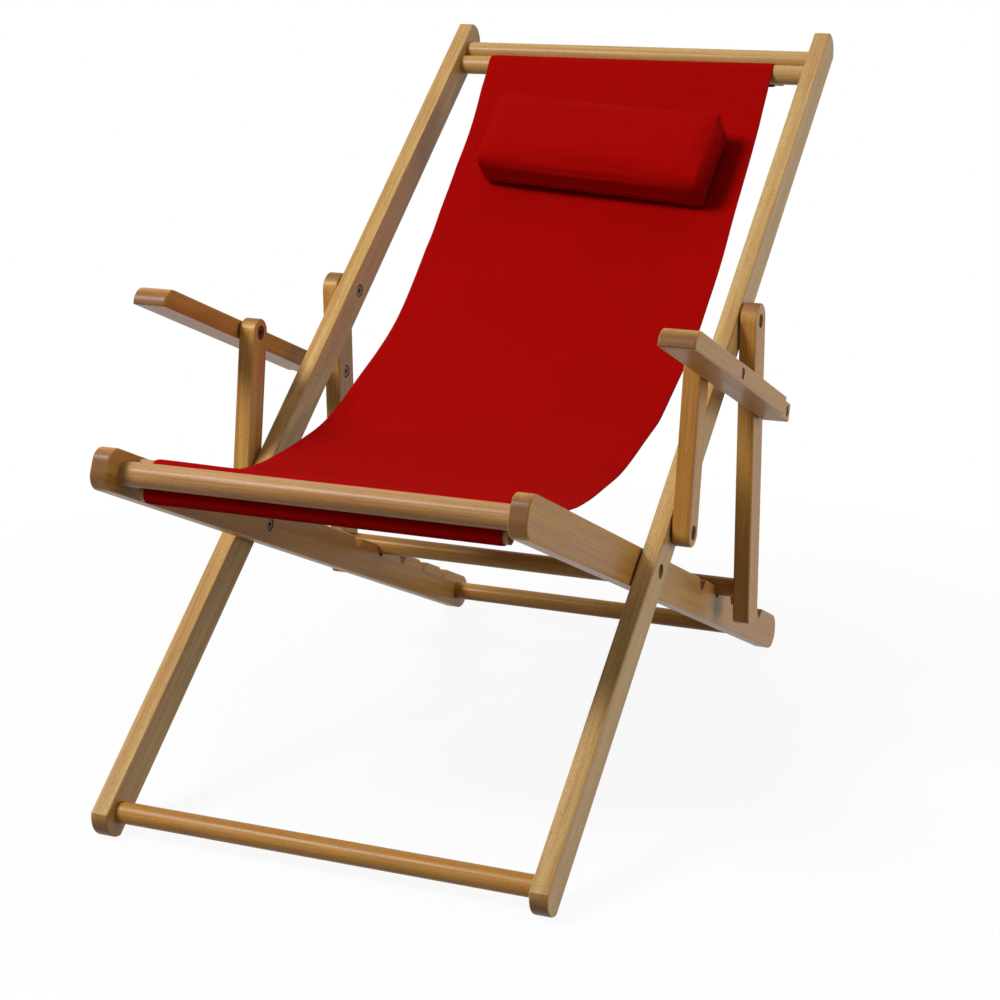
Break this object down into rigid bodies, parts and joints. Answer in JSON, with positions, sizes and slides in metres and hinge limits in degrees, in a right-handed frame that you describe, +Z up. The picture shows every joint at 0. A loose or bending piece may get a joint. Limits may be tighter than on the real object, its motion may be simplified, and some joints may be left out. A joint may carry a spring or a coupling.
{
  "type": "sling chair",
  "caption": "Folding wooden deck chair with a canvas sling seat, head pillow, flat arm boards and a prop bar that sits in notches of the seat rails to set the recline.",
  "frame": {"origin": "middle of the bounding box, on the floor", "axes": "X to the sitter's left, Y to the back of the chair, Z up"},
  "size_m": [0.673, 1.0664, 0.8393],
  "materials": {
    "wood": "clear semi-gloss lacquer on warm brown hardwood",
    "steel": "dark, dull",
    "canvas": "matt woven canvas, deep red",
    "foam": "matt open foam"
  },
  "bodies": {
    "back_frame": {"long_rail_right": "wood", "long_rail_left": "wood", "foot_dowel": "wood", "top_rod_front": "wood", "top_rod_rear": "wood", "sling": "canvas", "sling_rod_top": "wood", "pillow_cover": "canvas", "pillow_foam": "foam", "prop_pivot_bolts": "steel", "prop_pivot_nuts": "steel", "prop_pivot_washers": "steel", "post_pivot_bolts": "steel", "post_pivot_nuts": "steel", "post_pivot_washers": "steel"},
    "seat_frame": {"seat_rail_right": "wood", "seat_rail_left": "wood", "front_dowel": "wood", "front_dowel_inner": "wood", "rear_dowel": "wood", "sling_rod_front": "wood", "seat_pivot_bolts": "steel", "seat_pivot_nuts": "steel", "seat_pivot_washers": "steel"},
    "prop_frame": {"strut_right": "wood", "strut_left": "wood", "prop_crossbar": "wood", "arm_rear_bolts": "steel", "arm_rear_nuts": "steel", "arm_rear_washers": "steel"},
    "post_right": {"post_right": "wood", "arm_front_bolt_right": "steel"},
    "post_left": {"post_left": "wood", "arm_front_bolt_left": "steel"},
    "arm_right": {"arm_right": "wood", "arm_front_nut_right": "steel", "arm_front_washer_right": "steel"},
    "arm_left": {"arm_left": "wood", "arm_front_nut_left": "steel", "arm_front_washer_left": "steel"}
  },
  "joints": [
    {"name": "seat_fold", "type": "hinge", "parent": "back_frame", "child": "seat_frame", "pos_m": [0, -0.177, 0.27823], "axis": [-1, 0, 0], "range_deg": [0, 112], "deforming": ["sling"]},
    {"name": "prop_swing", "type": "hinge", "parent": "back_frame", "child": "prop_frame", "pos_m": [0, 0.1256, 0.51465], "axis": [1, 0, 0], "range_deg": [0, 120]},
    {"name": "post_swing_right", "type": "hinge", "parent": "back_frame", "child": "post_right", "pos_m": [0, -0.13129, 0.31394], "axis": [-1, 0, 0], "range_deg": [0, 40.74]},
    {"name": "arm_swing_right", "type": "hinge", "parent": "prop_frame", "child": "arm_right", "pos_m": [0, 0.12961, 0.40472], "axis": [-1, 0, 0], "range_deg": [0, 65.19]},
    {"name": "post_swing_left", "type": "hinge", "parent": "back_frame", "child": "post_left", "pos_m": [0, -0.13129, 0.31394], "axis": [-1, 0, 0], "range_deg": [0, 40.74]},
    {"name": "arm_swing_left", "type": "hinge", "parent": "prop_frame", "child": "arm_left", "pos_m": [0, 0.12961, 0.40472], "axis": [-1, 0, 0], "range_deg": [0, 65.19]}
  ],
  "couplings": [
    {"joint": "prop_swing", "follows": "seat_fold", "ratio": 1.0714},
    {"joint": "post_swing_right", "follows": "seat_fold", "ratio": 0.36378},
    {"joint": "arm_swing_right", "follows": "seat_fold", "ratio": 0.58205},
    {"joint": "post_swing_left", "follows": "seat_fold", "ratio": 0.36378},
    {"joint": "arm_swing_left", "follows": "seat_fold", "ratio": 0.58205}
  ]
}
